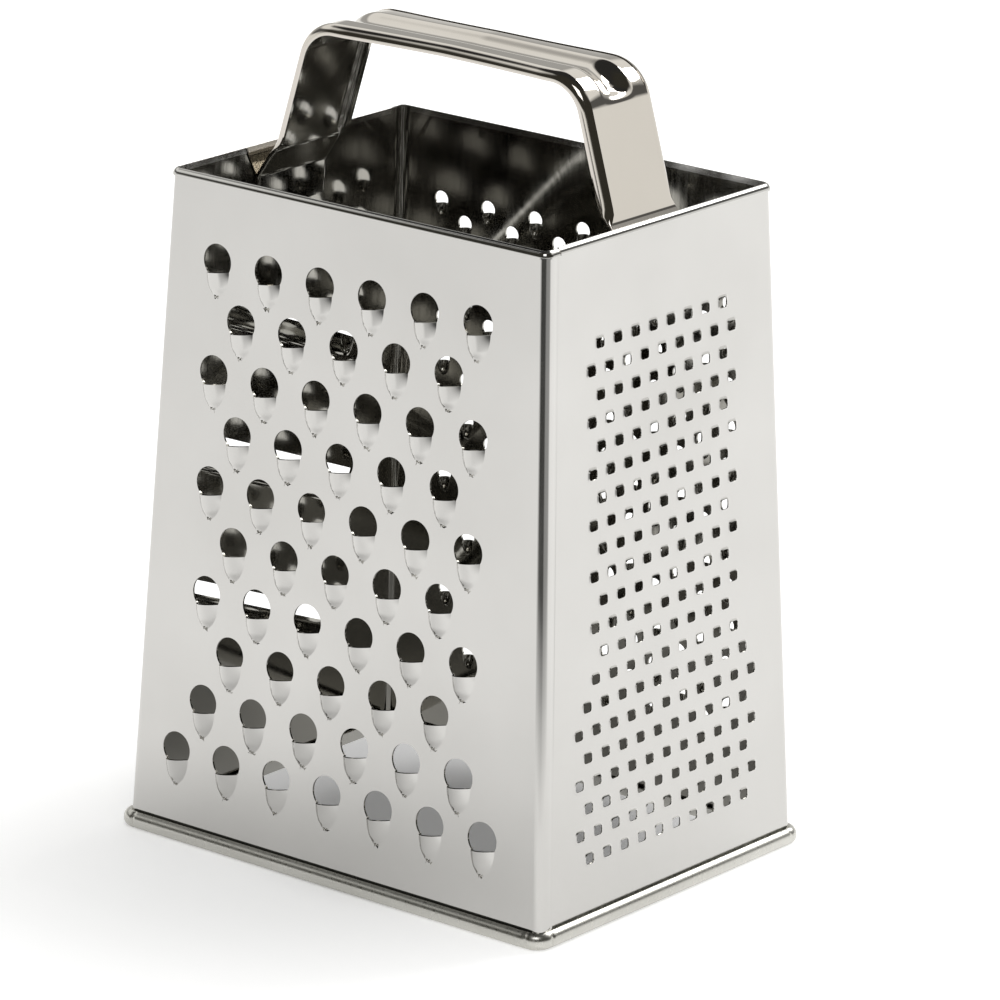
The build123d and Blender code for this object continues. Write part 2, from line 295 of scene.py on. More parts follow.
def bladePatch(cut):
    # A long slot whose lower edge is pressed out into a slicing blade
    half, opening, ramp = cut["length"] / 2, cut["opening"], cut["ramp"]
    columns, rows, topSteps = cut["columns"], cut["rows"], cut["topSteps"]
    verts, grid = [], []
    for j in range(rows + 1):
        t = j / rows
        line = []
        for i in range(columns + 1):
            x = -half * math.cos(math.pi * i / columns)
            fade = smoothStep((half - abs(x)) / cut["endFade"])
            height = cut["lift"] * fade * (1 - (smoothStep(t) + t) / 2)
            line.append(len(verts))
            verts.append((x, -opening - (ramp - opening) * t, height))
        grid.append(line)
    faces = gridFaces(grid)
    inner = []
    for k in range(topSteps + 1):
        inner.append(len(verts))
        verts.append((half * math.cos(math.pi * k / topSteps), 0.0, 0.0))
    inner += flankLine(grid)
    rim = addBorder(verts, faces, inner, cut["border"])
    return {"verts": verts, "faces": faces, "rim": rim, "thin": []}


coarseCut = {
    "rowCounts": (6, 5, 6, 5, 6, 5, 6, 5, 6, 7),
    "pitch": 15.73,
    "rowPitch": 13.5,
    "firstRow": 144.0,       # height of the top row
    "shift": -1.6,
    "hole": 8.5,
    "holeSpread": 0.015,     # how far one cutter differs from the next, as a share
    "mouthDrop": 2.55,       # mouth below the middle of the hole
    "mouthSlant": 0.11,      # rise of the mouth to the right
    "noseHalf": 0.3,         # half the width of the scoop's lower end
    "narrowing": 2.2,        # powers of the curve of its flanks
    "noseRound": 0.7,
    "noseShare": 0.3,        # height left at the nose, as a share of the mouth's
    "noseStart": 0.6,
    "noseBulge": 0.07,       # how far the nose reaches past its corners, as a share of the length
    "scoopLength": 6.3,
    "lengthSpread": 0.04,
    "scoopHeight": 1.8,
    "heightSpread": 0.07,
    "leftArch": 0.6,         # powers of its round across, lower is fuller
    "rightArch": 1.0,
    "columns": 14,
    "rows": 12,
    "rowCurve": 0.9,
    "crown": 26,             # steps round the hole
    "border": 0.35,
}

mediumCut = {
    "rowCounts": (7, 6) * 12,
    "pitch": 14.65,
    "rowPitch": 5.05,
    "firstRow": 142.0,
    "shift": 0.0,
    "hole": 4.2,
    "holeSpread": 0.015,
    "mouthDrop": 1.3,
    "mouthSlant": 0.0,
    "noseHalf": 0.5,
    "narrowing": 2.2,
    "noseRound": 0.7,
    "noseShare": 0.4,
    "noseStart": 0.7,
    "noseBulge": 0.07,
    "scoopLength": 3.0,
    "lengthSpread": 0.04,
    "scoopHeight": 1.3,
    "heightSpread": 0.07,
    "leftArch": 0.7,
    "rightArch": 0.7,
    "columns": 8,
    "rows": 6,
    "rowCurve": 0.9,
    "crown": 14,
    "border": 0.3,
}

fineCut = {
    "rowCounts": (8, 9, 8, 9, 8, 9, 8, 9, 8, 9, 8, 9, 8, 9, 10, 11, 10, 11, 10, 11, 10),
    "pitch": 6.59,
    "rowPitch": 6.1,
    "firstRow": 139.0,
    "shift": 0.0,
    "holeWidth": 3.0,
    "holeHeight": 2.4,
    "squareness": 4.0,
    "burr": 0.2,
    "burrSpread": 0.2,
    "lean": 0.15,            # how much higher one side of a burr can be
    "tooth": 0.12,           # the rise of its four corners
    "jag": 0.08,
    "points": 16,
    # distance outside the hole, share of the burr's height
    "rings": ((0.0, 1.0), (0.22, 0.55), (0.5, 0.16), (0.85, 0.0)),
}

slicerCut = {
    "middle": 84.4,
    "spacing": 37.6,
    "count": 3,
    "slant": 21.3,           # degrees
    "length": 62.0,
    "opening": 3.6,
    "ramp": 9.0,
    "lift": 1.8,
    "endFade": 3.0,
    "columns": 44,
    "rows": 8,
    "topSteps": 12,
    "border": 0.5,
}


def rowPlaces(cut, up):
    # Middles of a staggered field of holes, top row first, in the plane of the side
    top = (cut["firstRow"] - body["height"] / 2) / up.z
    places = []
    for row, count in enumerate(cut["rowCounts"]):
        for column in range(count):
            x = cut["shift"] + cut["pitch"] * (column - (count - 1) / 2)
            places.append((x, top - cut["rowPitch"] * row, 0.0))
    return places


def slicerPlaces(cut, up):
    top = (cut["middle"] - body["height"] / 2) / up.z
    return [(0.0, top + cut["spacing"] * (k - (cut["count"] - 1) / 2), math.radians(cut["slant"]))
            for k in range(cut["count"])]


def insideLoop(x, y, loop):
    inside = False
    for i in range(len(loop)):
        (ax, ay), (bx, by) = loop[i - 1], loop[i]
        if (ay > y) != (by > y) and x < (bx - ax) * (y - ay) / (by - ay) + ax:
            inside = not inside
    return inside


def sideOutline(side, levels, up):
    # Anticlockwise round the flat part of a side, between its folds
    steps = body["edgeSteps"]

    def ends(z):
        if side == "wide":
            return (-halfWidth(z) + body["foldRadius"], halfWidth(z) + body["sheet"] - body["seamRadius"])
        return (-halfDepth(z) + body["sheet"] + body["foldRadius"], halfDepth(z) - body["foldRadius"])

    def point(x, z):
        return (x, (z - body["height"] / 2) / up.z)

    low, high = levels[0], levels[-1]
    a, b = ends(low)
    c, d = ends(high)
    outline = [point(a + (b - a) * k / steps, low) for k in range(steps)]
    outline += [point(ends(z)[1], z) for z in levels[:-1]]
    outline += [point(d + (c - d) * k / steps, high) for k in range(steps)]
    outline += [point(ends(z)[0], z) for z in reversed(levels[1:])]
    return outline


def addSide(bm, side, patches, levels, thinVerts):
    # One flat side: its patches set in place, and the flat sheet round them filled with triangles
    turn, at, up = sideFrame(side)
    outline = sideOutline(side, levels, up)

    def place(x, y, w):
        return (turn @ Vector((x, y, w)) + at) * mm

    loops, reach = [outline], []
    for patch, (x, y, angle) in patches:
        c, s = math.cos(angle), math.sin(angle)
        spots = [(x + c * u - s * v, y + s * u + c * v, w) for u, v, w in patch["verts"]]
        made = [bm.verts.new(place(*spot)) for spot in spots]
        for face in patch["faces"]:
            bm.faces.new([made[i] for i in face])
        thinVerts.extend(made[i] for i in patch["thin"])
        loop = [spots[i][:2] for i in patch["rim"]]
        loops.append(loop)
        middle = (sum(p[0] for p in loop) / len(loop), sum(p[1] for p in loop) / len(loop))
        reach.append((middle, max(math.dist(middle, p) for p in loop)))

    points, edges = [], []
    for loop in loops:
        first = len(points)
        points += [Vector(p) for p in loop]
        edges += [(first + i, first + (i + 1) % len(loop)) for i in range(len(loop))]
    flatVerts, _, flatFaces, *_ = delaunay_2d_cdt(points, edges, [], 0, closeEnough)
    made = [bm.verts.new(place(p.x, p.y, 0.0)) for p in flatVerts]
    for face in flatFaces:
        x = sum(flatVerts[i].x for i in face) / len(face)
        y = sum(flatVerts[i].y for i in face) / len(face)
        if not insideLoop(x, y, outline):
            continue
        if any(math.dist((x, y), middle) < radius and insideLoop(x, y, loop)
               for (middle, radius), loop in zip(reach, loops[1:])):
            continue
        bm.faces.new([made[i] for i in face])


def arc(middle, radius, start, end, steps):
    return [(middle[0] + radius * math.cos(math.radians(start + (end - start) * k / steps)),
             middle[1] + radius * math.sin(math.radians(start + (end - start) * k / steps)))
            for k in range(steps + 1)]


def foldLines(z):
    # Level lines of the lapped corner, the front left fold and the rear fold with its lip
    hw, hd, s = halfWidth(z), halfDepth(z), body["sheet"]
    r, rs, n = body["foldRadius"], body["seamRadius"], body["foldSteps"]
    edge = -hd + body["flange"]
    lap = [(hw + s - depth, edge - share * body["crease"]) for share, depth in body["creaseShape"]]
    lap += arc((hw + s - rs, -hd + rs), rs, 0, -90, n)
    front = arc((-hw + r, -hd + r), r, -90, -180, n)
    rear = arc((-hw + r, hd - s - r), r, 180, 90, n) + [(-hw + body["lip"], hd - s)]
    return lap, front, rear


def addFolds(bm, levels):
    for index in range(3):
        grid = [[bm.verts.new((x * mm, y * mm, z * mm)) for x, y in foldLines(z)[index]] for z in levels]
        for lower, upper in zip(grid, grid[1:]):
            for i in range(len(lower) - 1):
                bm.faces.new((lower[i], lower[i + 1], upper[i + 1], upper[i]))


hem = {
    "height": 1.8,
    "proud": 0.5,
    "overlap": 0.02,         # how far the hem sinks into the sheet
    "chamfer": 0.06,
    "underside": ((0.12, 0.0), (0.02, 0.05)),    # lower edge: inside the outer face, above the bottom
    "round": 0.32,           # the sheets end this far below the top
    "roll": 1.68,            # radius of the turn inwards to the top edge
    "turn": 66,              # degrees of that turn
    "edge": 0.12,            # radius of the edge itself
    "edgeSteps": 6,
    "rollStart": 1.55,       # below the top
    "insideHeight": 1.5,
    "insideDip": 0.1,
    "clearance": 0.4,        # between the end of the hem and the flange of the other sheet
    "steps": 12,
}


def hemPath(z):
    # Level line under the hem with its outward direction at each point
    hw, hd, s = halfWidth(z), halfDepth(z), body["sheet"]
    r, rs, n = body["foldRadius"], body["seamRadius"], body["foldSteps"]
    points = [((hw + s, -hd + body["flange"]), (1, 0))]
    for x, y, radius, start in ((hw + s - rs, -hd + rs, rs, 0), (-hw + r, -hd + r, r, -90)):
        for k in range(n + 1):
            a = math.radians(start - 90 * k / n)
            away = (math.cos(a), math.sin(a))
            points.append(((x + radius * away[0], y + radius * away[1]), away))
    points.append(((-hw, hd - s - body["flange"] - hem["clearance"]), (-1, 0)))
    return points


def hemProfile():
    # Closed outline across the hem: distance outside the sheet, height below the top
    s, proud, roll, edge, steps = body["sheet"], hem["proud"], hem["roll"], hem["edge"], hem["steps"]
    bottom, overlap, inside = -hem["height"], hem["overlap"], -hem["insideHeight"]
    outline = [(-overlap, bottom + hem["chamfer"])]
    outline += [(proud - back, bottom + above) for back, above in hem["underside"]]
    outline += arc((proud - roll, -hem["rollStart"]), roll, 0, hem["turn"], steps)
    turned = math.radians(hem["turn"])
    middle = (outline[-1][0] - edge * math.cos(turned), outline[-1][1] - edge * math.sin(turned))
    outline += arc(middle, edge, hem["turn"], 180, hem["edgeSteps"])[1:]
    outline += [(outline[-1][0], inside), (-s + overlap, inside - hem["insideDip"]), (-s / 2, inside)]
    return outline


def addHem(bm):
    top = body["height"]
    rows = []
    for away, drop in hemProfile():
        z = top + drop
        rows.append([bm.verts.new(((x + nx * away) * mm, (y + ny * away) * mm, z * mm))
                     for (x, y), (nx, ny) in hemPath(z)])
    made = []
    for k in range(len(rows)):
        one, two = rows[k], rows[(k + 1) % len(rows)]
        for i in range(len(one) - 1):
            made.append(bm.faces.new((one[i], one[i + 1], two[i + 1], two[i])))
    made.append(bm.faces.new([row[0] for row in rows]))
    made.append(bm.faces.new([row[-1] for row in reversed(rows)]))
    bmesh.ops.recalc_face_normals(bm, faces=made)


def newPiece(name, bm):
    mesh = bpy.data.meshes.new(name)
    bm.to_mesh(mesh)
    bm.free()
    piece = bpy.data.objects.new(name, mesh)
    bpy.context.scene.collection.objects.link(piece)
    return piece


def applyModifiers(piece):
    graph = bpy.context.evaluated_depsgraph_get()
    piece.data = bpy.data.meshes.new_from_object(piece.evaluated_get(graph))
    piece.modifiers.clear()


def shadeByAngle(piece, degrees, flats=()):
    # Smooth shading up to this angle, with the faces that have one of these normals left flat
    parallel = 0.99999
    bm = bmesh.new()
    bm.from_mesh(piece.data)
    for face in bm.faces:
        face.smooth = all(abs(face.normal.dot(flat)) < parallel for flat in flats)
    for edge in bm.edges:
        edge.smooth = len(edge.link_faces) == 2 and edge.calc_face_angle(0.0) < math.radians(degrees)
    bm.to_mesh(piece.data)
    bm.free()


def solidSheet(piece, thickness, thinShare):
    # Gives an outer skin its thickness of metal, thinner at the vertices of the group named thin
    solid = piece.modifiers.new("sheet", "SOLIDIFY")
    solid.thickness = thickness * mm
    solid.offset = -1
    solid.use_rim = True
    # the inner skin and the cut edges take the second material, the painted shade of the inside
    solid.material_offset = 1
    solid.material_offset_rim = 1
    if "thin" in piece.vertex_groups:
        solid.vertex_group = "thin"
        solid.invert_vertex_group = True
        solid.thickness_vertex_group = thinShare
    applyModifiers(piece)


def foldedSheet(name, widePatches, narrowPatches, turned):
    levels = heightLevels(body["foot"], body["height"] - hem["round"], body["levels"])
    bm = bmesh.new()
    layer = bm.verts.layers.deform.verify()
    thinVerts = []
    addSide(bm, "wide", widePatches, levels, thinVerts)
    addSide(bm, "narrow", narrowPatches, levels, thinVerts)
    addFolds(bm, levels)
    for vert in thinVerts:
        vert[layer][0] = 1.0
    bmesh.ops.remove_doubles(bm, verts=bm.verts, dist=closeEnough)
    bmesh.ops.recalc_face_normals(bm, faces=bm.faces)
    bm.faces.ensure_lookup_table()
    front = min(bm.faces, key=lambda face: abs(face.normal.y) < 0.9 or face.calc_center_median().y > 0)
    if front.normal.y > 0:    # the skin has to face outwards
        bmesh.ops.reverse_faces(bm, faces=bm.faces)
    piece = newPiece(name, bm)
    piece.data.materials.append(sheetSteel)
    # painted shade on the inner faces
    piece.data.materials.append(paintedShadeInsideSteel)
    piece.vertex_groups.new(name="thin")
    solidSheet(piece, body["sheet"], body["burrThickness"])

    bm = bmesh.new()
    bm.from_mesh(piece.data)
    addHem(bm)
    if turned:
        bmesh.ops.rotate(bm, verts=bm.verts, cent=(0, 0, 0), matrix=Matrix.Rotation(math.pi, 3, "Z"))
    bm.to_mesh(piece.data)
    bm.free()
    flats = [sideFrame(side)[0].to_3x3().col[2] for side in ("wide", "narrow")]
    if turned:
        flats = [Vector((-flat.x, -flat.y, flat.z)) for flat in flats]
    shadeByAngle(piece, body["sharpAngle"], flats)
    return piece


chance = random.Random(4)
wideUp, narrowUp = sideFrame("wide")[2], sideFrame("narrow")[2]
coarseSide = [(scoopPatch(coarseCut, chance), place) for place in rowPlaces(coarseCut, wideUp)]
mediumSide = [(scoopPatch(mediumCut, chance), place) for place in rowPlaces(mediumCut, wideUp)]
fineSide = [(burrPatch(fineCut, chance), place) for place in rowPlaces(fineCut, narrowUp)]
slicingSide = [(bladePatch(slicerCut), place) for place in slicerPlaces(slicerCut, narrowUp)]

coarseSlicerSheet = foldedSheet("coarseSlicerSheet", coarseSide, slicingSide, False)
print("coarse and slicing sheet:", len(coarseSlicerSheet.data.polygons), "faces")
fineMediumSheet = foldedSheet("fineMediumSheet", mediumSide, fineSide, True)
print("fine and medium sheet:", len(fineMediumSheet.data.polygons), "faces")


rim = {
    "height": 4.2,
    # thin lip against the sheets and the gap beside it: outside the sheet, above the rim
    "seat": ((0.02, 0.3), (0.12, 0.24), (0.16, -0.5), (0.55, -0.1)),
    "paintedShadeRows": 2,            # the first rows of faces, painted dark: painted shade in the crevice against the sheets
    "proud": 2.3,
    "cornerRadius": 5.0,
    "leastRadius": 0.6,
    "innerLeg": 0.8,
    "innerHeight": 3.2,
    "legBevel": 0.15,
    "legRound": 0.2,
    "slot": 1.15,
    "slotBevel": 0.1,
    "overlap": 0.02,
    "edge": 1.9,
    "edgeTurn": 80,          # degrees of the upper round
    "edgeSteps": 8,
    "cornerSteps": 16,
    "pinch": 0.28,           # how far the bead is drawn in beside each corner
    "pinchStep": 0.3,        # rows of faces close together there
    "pinchSteps": 6,
    "pinchSpread": 1.3,      # in rows
    "sideSteps": 20,
    "sharpAngle": 40,
}


def rimProfile():
    # Closed outline across the rim: distance outside the sheet, height
    proud, high, r, steps = rim["proud"], rim["height"], rim["edge"], rim["edgeSteps"]
    slot, foot, top = -rim["slot"], body["foot"], rim["innerHeight"]
    inner, bevel, turn, slotBevel = slot - rim["innerLeg"], rim["legBevel"], rim["legRound"], rim["slotBevel"]
    outline = [(away, high + above) for away, above in rim["seat"]]
    outline += arc((proud - r, high - r), r, rim["edgeTurn"], 0, steps)
    outline += arc((proud - r, r), r, 0, -90, steps)
    outline += [(inner + bevel, 0.0), (inner, bevel), (inner, top - turn), (inner + turn, top)]
    outline += [(slot - slotBevel, top), (slot, top - slotBevel), (slot, foot), (rim["overlap"], foot)]
    return outline


def rimPath(z, away):
    # The rim's level line at a distance outside the sheet
    hw, hd = halfWidth(z) + away, halfDepth(z) + away
    radius = max(rim["cornerRadius"] + away - rim["proud"], rim["leastRadius"])
    corners = ((1, -1), (1, 1), (-1, 1), (-1, -1))
    middles = [Vector((sx * (hw - radius), sy * (hd - radius))) for sx, sy in corners]
    points = []
    for number, middle in enumerate(middles):
        for k in range(rim["cornerSteps"] + 1):
            a = math.radians(90 * (number - 1 + k / rim["cornerSteps"]))
            points.append(middle + radius * Vector((math.cos(a), math.sin(a))))
        run = middles[(number + 1) % 4] - middle
        begin = points[-1]
        points += [begin + run * share for share in straightShares(run.length)]
    return points


def straightShares(length):
    # Places along a straight stretch, close together beside the two corners
    near = [k * rim["pinchStep"] / length for k in range(1, rim["pinchSteps"] + 1)]
    steps = rim["sideSteps"]
    middle = [near[-1] + (1 - 2 * near[-1]) * k / steps for k in range(1, steps)]
    return near + middle + [1 - share for share in reversed(near)]


def pinchAt(index, count):
    # 1 at the pinch beside a corner, 0 elsewhere on the rim
    quarter = count // 4
    place = index % quarter
    distance = min(abs(place - rim["cornerSteps"] - 1), quarter - place, place)
    return math.exp(-(distance / rim["pinchSpread"]) ** 2)


def makeRim():
    bm = bmesh.new()
    rows = []
    for away, z in rimProfile():
        path = rimPath(z, away)
        share = max(away, 0.0) / rim["proud"]
        line = []
        for i, (point, flat) in enumerate(zip(path, rimPath(z, 0.0))):
            inward = flat - point
            length = inward.length or 1.0
            point = point + inward / length * rim["pinch"] * share * pinchAt(i, len(path))
            line.append(bm.verts.new((point.x * mm, point.y * mm, z * mm)))
        rows.append(line)
    for k in range(len(rows)):
        one, two = rows[k], rows[(k + 1) % len(rows)]
        for i in range(len(one)):
            n = (i + 1) % len(one)
            face = bm.faces.new((one[i], one[n], two[n], two[i]))
            # the first rows take the painted shade of the crevice
            face.material_index = 1 if k < rim["paintedShadeRows"] else 0
    bmesh.ops.recalc_face_normals(bm, faces=bm.faces)
    piece = newPiece("baseRim", bm)
    piece.data.materials.append(rimSteel)
    piece.data.materials.append(crevicePaintedShadeSteel)
    shadeByAngle(piece, rim["sharpAngle"])
    return piece


baseRim = makeRim()
print("base rim:", len(baseRim.data.polygons), "faces")


strap = {
    "sheet": 0.8,
    "legWidth": 25.0,
    "gripWidth": 23.0,
    "waistHalfLength": 30.0,
    "edgeDepth": 2.6,        # long edges turned down
    "edgeRadius": 2.2,
    "edgeStart": 1.5,        # below the lower end of the leg
    "edgeFade": 4.0,         # height over which they grow out of the foot
    "edgeLeast": 0.02,       # share of them left at the foot
    "top": 196.99,
    "crownDrop": 0.4,
    "shoulderHalf": 41.2,
    "shoulderRadius": 11.2,    # outer line of the bend between grip and leg
    "crownRadius": 120.0,
    "legFootHalf": 51.1,
    "footBelowTop": 7.5,
    "footPad": 9.0,
    "footReach": 7.0,
    "footRadius": 2.5,
    "grooveDepth": 1.7,
    "grooveHalf": 5.8,
    "grooveCurve": 1.6,
    "grooveEnd": 189.4,
    "grooveFade": 3.0,
    "gripCrown": 0.35,       # fall of the grip from its middle to its edges
    "across": 60,
    "flangeSteps": 4,
    "edgeSteps": 5,
    "arcSteps": 18,
    "runStep": 1.6,
    "sharpAngle": 42,
}


def roundedPath(corners, radii):
    # Points along straight runs joined by arcs, with a steady step along the runs
    points = []
    start = Vector(corners[0])
    for i in range(1, len(corners) - 1):
        here, after = Vector(corners[i]), Vector(corners[i + 1])
        back, ahead = (Vector(corners[i - 1]) - here).normalized(), (after - here).normalized()
        half = back.angle(ahead) / 2
        reach = radii[i - 1] / math.tan(half)
        first, last = here + back * reach, here + ahead * reach
        points += stepsBetween(start, first)
        middle = here + (back + ahead).normalized() * (radii[i - 1] / math.sin(half))
        turn = (first - middle).angle_signed(last - middle)
        for k in range(strap["arcSteps"]):
            spoke = (first - middle).copy()
            spoke.rotate(Matrix.Rotation(-turn * k / strap["arcSteps"], 2))
            points.append(middle + spoke)
        start = last
    points += stepsBetween(start, Vector(corners[-1]))
    points.append(Vector(corners[-1]))
    return points


def stepsBetween(start, end):
    count = max(1, round((end - start).length / strap["runStep"]))
    return [start + (end - start) * k / count for k in range(count)]


def strapPath():
    s = body["sheet"]
    lean = (body["baseWidth"] - body["topWidth"]) / 2 / body["height"]
    inside = s * math.sqrt(1 + lean * lean)
    padTop = body["height"] - strap["footBelowTop"]
    padLow = padTop - strap["footPad"]
    rising = [(halfWidth(padLow) - inside, padLow), (halfWidth(padTop) - inside, padTop),
              (strap["legFootHalf"], padTop + strap["footReach"]),
              (strap["shoulderHalf"], strap["top"] - strap["crownDrop"])]
    corners = rising + [(0, strap["top"])] + [(-x, z) for x, z in reversed(rising)]
    radii = [strap["footRadius"], strap["footRadius"], strap["shoulderRadius"]]
    return roundedPath(corners, radii + [strap["crownRadius"]] + radii[::-1])


def strapHalfWidth(x):
    bite = strap["legWidth"] / 2 - strap["gripWidth"] / 2
    radius = (strap["waistHalfLength"] ** 2 + bite ** 2) / (2 * bite)
    if abs(x) >= strap["waistHalfLength"]:
        return strap["legWidth"] / 2
    return strap["gripWidth"] / 2 + radius - math.sqrt(radius ** 2 - x * x)


def strapSection(half, ribs, edge):
    # Across the strap: place from edge to edge and depth inside the outer line
    n, flangeSteps = strap["across"], strap["flangeSteps"]
    r = strap["edgeRadius"] * edge
    deep = strap["edgeDepth"] * edge
    turned = [(-half, -r - (deep - r) * (1 - k / flangeSteps)) for k in range(flangeSteps)]
    turned += arc((-half + r, -r), r, 180, 90, strap["edgeSteps"])
    face = []
    for k in range(n + 1):
        y = (half - r) * (2 * k / n - 1)
        t = abs(y) / strap["grooveHalf"]
        dip = (1 - t * t) ** strap["grooveCurve"] if t < 1 else 0.0
        crown = strap["gripCrown"] * (abs(y) / half) ** 3
        face.append((y, -ribs * (strap["grooveDepth"] * dip + crown)))
    return turned + face + [(-y, depth) for y, depth in reversed(turned)]


def makeHandle():
    path = strapPath()
    legLow = body["height"] - strap["footBelowTop"] + strap["footReach"]
    bm = bmesh.new()
    rows = []
    for i, point in enumerate(path):
        before, after = path[max(i - 1, 0)], path[min(i + 1, len(path) - 1)]
        along = (after - before).normalized()
        out = Vector((along.y, -along.x))
        if out.dot(point - Vector((0, body["height"]))) < 0:
            out = -out
        ribs = smoothStep((point.y - strap["grooveEnd"]) / strap["grooveFade"])
        edge = smoothStep((point.y - legLow + strap["edgeStart"]) / strap["edgeFade"])
        line = []
        for y, depth in strapSection(strapHalfWidth(point.x), ribs, max(edge, strap["edgeLeast"])):
            spot = point + out * depth
            line.append(bm.verts.new((spot.x * mm, y * mm, spot.y * mm)))
        rows.append(line)
    for one, two in zip(rows, rows[1:]):
        for k in range(len(one) - 1):
            bm.faces.new((one[k], one[k + 1], two[k + 1], two[k]))
    bmesh.ops.recalc_face_normals(bm, faces=bm.faces)
    top = max(bm.faces, key=lambda face: face.calc_center_median().z)
    if top.normal.z < 0:
        bmesh.ops.reverse_faces(bm, faces=bm.faces)
    piece = newPiece("handle", bm)
    piece.data.materials.append(strapSteel)
    # painted shade on the inner faces
    piece.data.materials.append(paintedShadeInsideSteel)
    solidSheet(piece, strap["sheet"], 1.0)
    shadeByAngle(piece, strap["sharpAngle"])
    return piece


handle = makeHandle()
print("handle:", len(handle.data.polygons), "faces")


pieces = (
    (coarseSlicerSheet, "coarse_slicer_sheet", "bright_sheet", sheetSteel),
    (fineMediumSheet, "fine_medium_sheet", "bright_sheet", sheetSteel),
    (baseRim, "base_rim", "rim_steel", rimSteel),
    (handle, "handle", "polished_strap", strapSteel),
)
for piece, node, slot, material in pieces:
    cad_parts[node].data.materials.clear()
    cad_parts[node].data.materials.append(material)
    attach(piece, "root")
    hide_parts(node)
print("finishes set")


# Floor, light and camera

studio = {
    "floorSize": 6.0,
    "floorColour": (0.80, 0.80, 0.79, 1),
    "floorRoughness": 0.7,
    # painted shade: colour of the far floor on the camera's side, seen only in reflections
    "shade": (0.03, 0.03, 0.027, 1),
    "liftMiddle": (-0.03, -0.04, 0.0),    # metres, on the shadow's side of the object, where the painted shadow in the floor's glow reaches further
    # how much the floor glows, painted light, in the picture and in reflections, by the distance from there;
    # less near the object, as a painted shadow
    "seenLift": {"start": 0.03, "end": 0.15, "near": 0.34, "far": 0.62},
    "mirroredLift": {"start": 0.02, "end": 0.12, "near": 0.2, "far": 0.5},
    "paintedShadowUnder": {"start": 0.03, "end": 0.062, "share": 0.25},    # share of the glow left under the object, a painted shadow
    "shadeStart": 0.2,       # the painted shade of the floor starts here towards the camera's side
    "shadeEnd": 0.46,
    # share of the floor's colour and glow left under the painted shade on the far floor, by degrees from the
    # front towards the right
    "farFloor": ((-14, 1.0), (0, 0.03), (48, 0.03), (60, 0.3), (100, 0.34), (114, 1.0)),
    # light from the back by height, from 0.5 at eye level to 1 overhead: at the left and at the right
    "backLeft": ((0.55, 1.0), (0.60, 0.46), (0.70, 0.46), (0.75, 1.0), (0.84, 1.0), (0.885, 0.03)),
    "backRight": ((0.575, 1.0), (0.61, 0.12), (0.71, 0.12), (0.75, 1.0), (0.84, 1.0), (0.885, 0.03)),
    "leftEnd": -0.75,        # cosines of the angle from darkSide
    "rightStart": -0.4,
    "warmth": 0.97,          # blue share of that light
    "diffuseSky": (0.62, 0.62, 0.62, 1),
    "seenSky": (1.0, 1.0, 1.0, 1),
    "darkSide": (0.62, -0.78, 0.0),    # towards the camera, where the studio is dark
    "dark": (0.04, 0.038, 0.03, 1),
    "darkStart": -0.16,
    "darkEnd": 0.16,
    "darkLow": 0.51,         # it starts here, from 0.5 at eye level to 1 overhead
    "darkHigh": 0.56,
}


def addRamp(nodes, stops):
    ramp = nodes.new("ShaderNodeValToRGB")
    elements = ramp.color_ramp.elements
    while len(elements) < len(stops):
        elements.new(0.5)
    for element, (position, value) in zip(elements, stops):
        element.position = position
        element.color = (value, value, studio["warmth"] * value, 1)
    return ramp


def joined(nodes, links, operation, first, second):
    # A math node on two values, each a socket or a number
    node = nodes.new("ShaderNodeMath")
    node.operation = operation
    for socket, value in zip(node.inputs, (first, second)):
        if isinstance(value, (int, float)):
            socket.default_value = value
        else:
            links.new(value, socket)
    return node.outputs[0]


def mapped(nodes, links, value, low, high, smooth=True, first=0.0, last=1.0):
    node = nodes.new("ShaderNodeMapRange")
    node.interpolation_type = "SMOOTHSTEP" if smooth else "LINEAR"
    node.inputs["From Min"].default_value = low
    node.inputs["From Max"].default_value = high
    node.inputs["To Min"].default_value = first
    node.inputs["To Max"].default_value = last
    links.new(value, node.inputs["Value"])
    return node.outputs["Result"]


def farLight(nodes, links, place, reach, rays):
    # Share of the floor's colour and glow left under painted shade, which darkens the floor far off on the
    # camera's side in reflections, but not to the camera
    split = nodes.new("ShaderNodeSeparateXYZ")
    links.new(place, split.inputs[0])
    toFront = joined(nodes, links, "MULTIPLY", split.outputs["Y"], -1.0)
    angle = joined(nodes, links, "ARCTAN2", split.outputs["X"], toFront)
    far = addRamp(nodes, [(0.5 + degrees / 360, share) for degrees, share in studio["farFloor"]])
    links.new(mapped(nodes, links, angle, -math.pi, math.pi, False), far.inputs["Fac"])
    fading = mapped(nodes, links, reach, studio["shadeStart"], studio["shadeEnd"], False)
    dark = joined(nodes, links, "SUBTRACT", 1.0, far.outputs["Color"])
    lost = joined(nodes, links, "MULTIPLY", fading, dark)
    unseen = joined(nodes, links, "SUBTRACT", 1.0, rays.outputs["Is Camera Ray"])
    return joined(nodes, links, "SUBTRACT", 1.0, joined(nodes, links, "MULTIPLY", lost, unseen))


def floorLift(nodes, links, place, reach, rays):
    # Painted light: a glow that brightens the floor in the picture and in reflections, with less of it beside
    # and under the object as a painted shadow
    away = nodes.new("ShaderNodeVectorMath")
    away.operation = "DISTANCE"
    away.inputs[1].default_value = studio["liftMiddle"]
    links.new(place, away.inputs[0])
    seen, mirrored = [mapped(nodes, links, away.outputs["Value"], lift["start"], lift["end"],
                             first=lift["near"], last=lift["far"])
                      for lift in (studio["seenLift"], studio["mirroredLift"])]
    lifted = joined(nodes, links, "MULTIPLY", seen, rays.outputs["Is Camera Ray"])
    for ray in ("Is Glossy Ray", "Is Transmission Ray"):
        lifted = joined(nodes, links, "MAXIMUM", lifted,
                        joined(nodes, links, "MULTIPLY", mirrored, rays.outputs[ray]))
    under = studio["paintedShadowUnder"]
    paintedShadowShare = mapped(nodes, links, reach, under["start"], under["end"], first=under["share"])
    return joined(nodes, links, "MULTIPLY", lifted, paintedShadowShare)


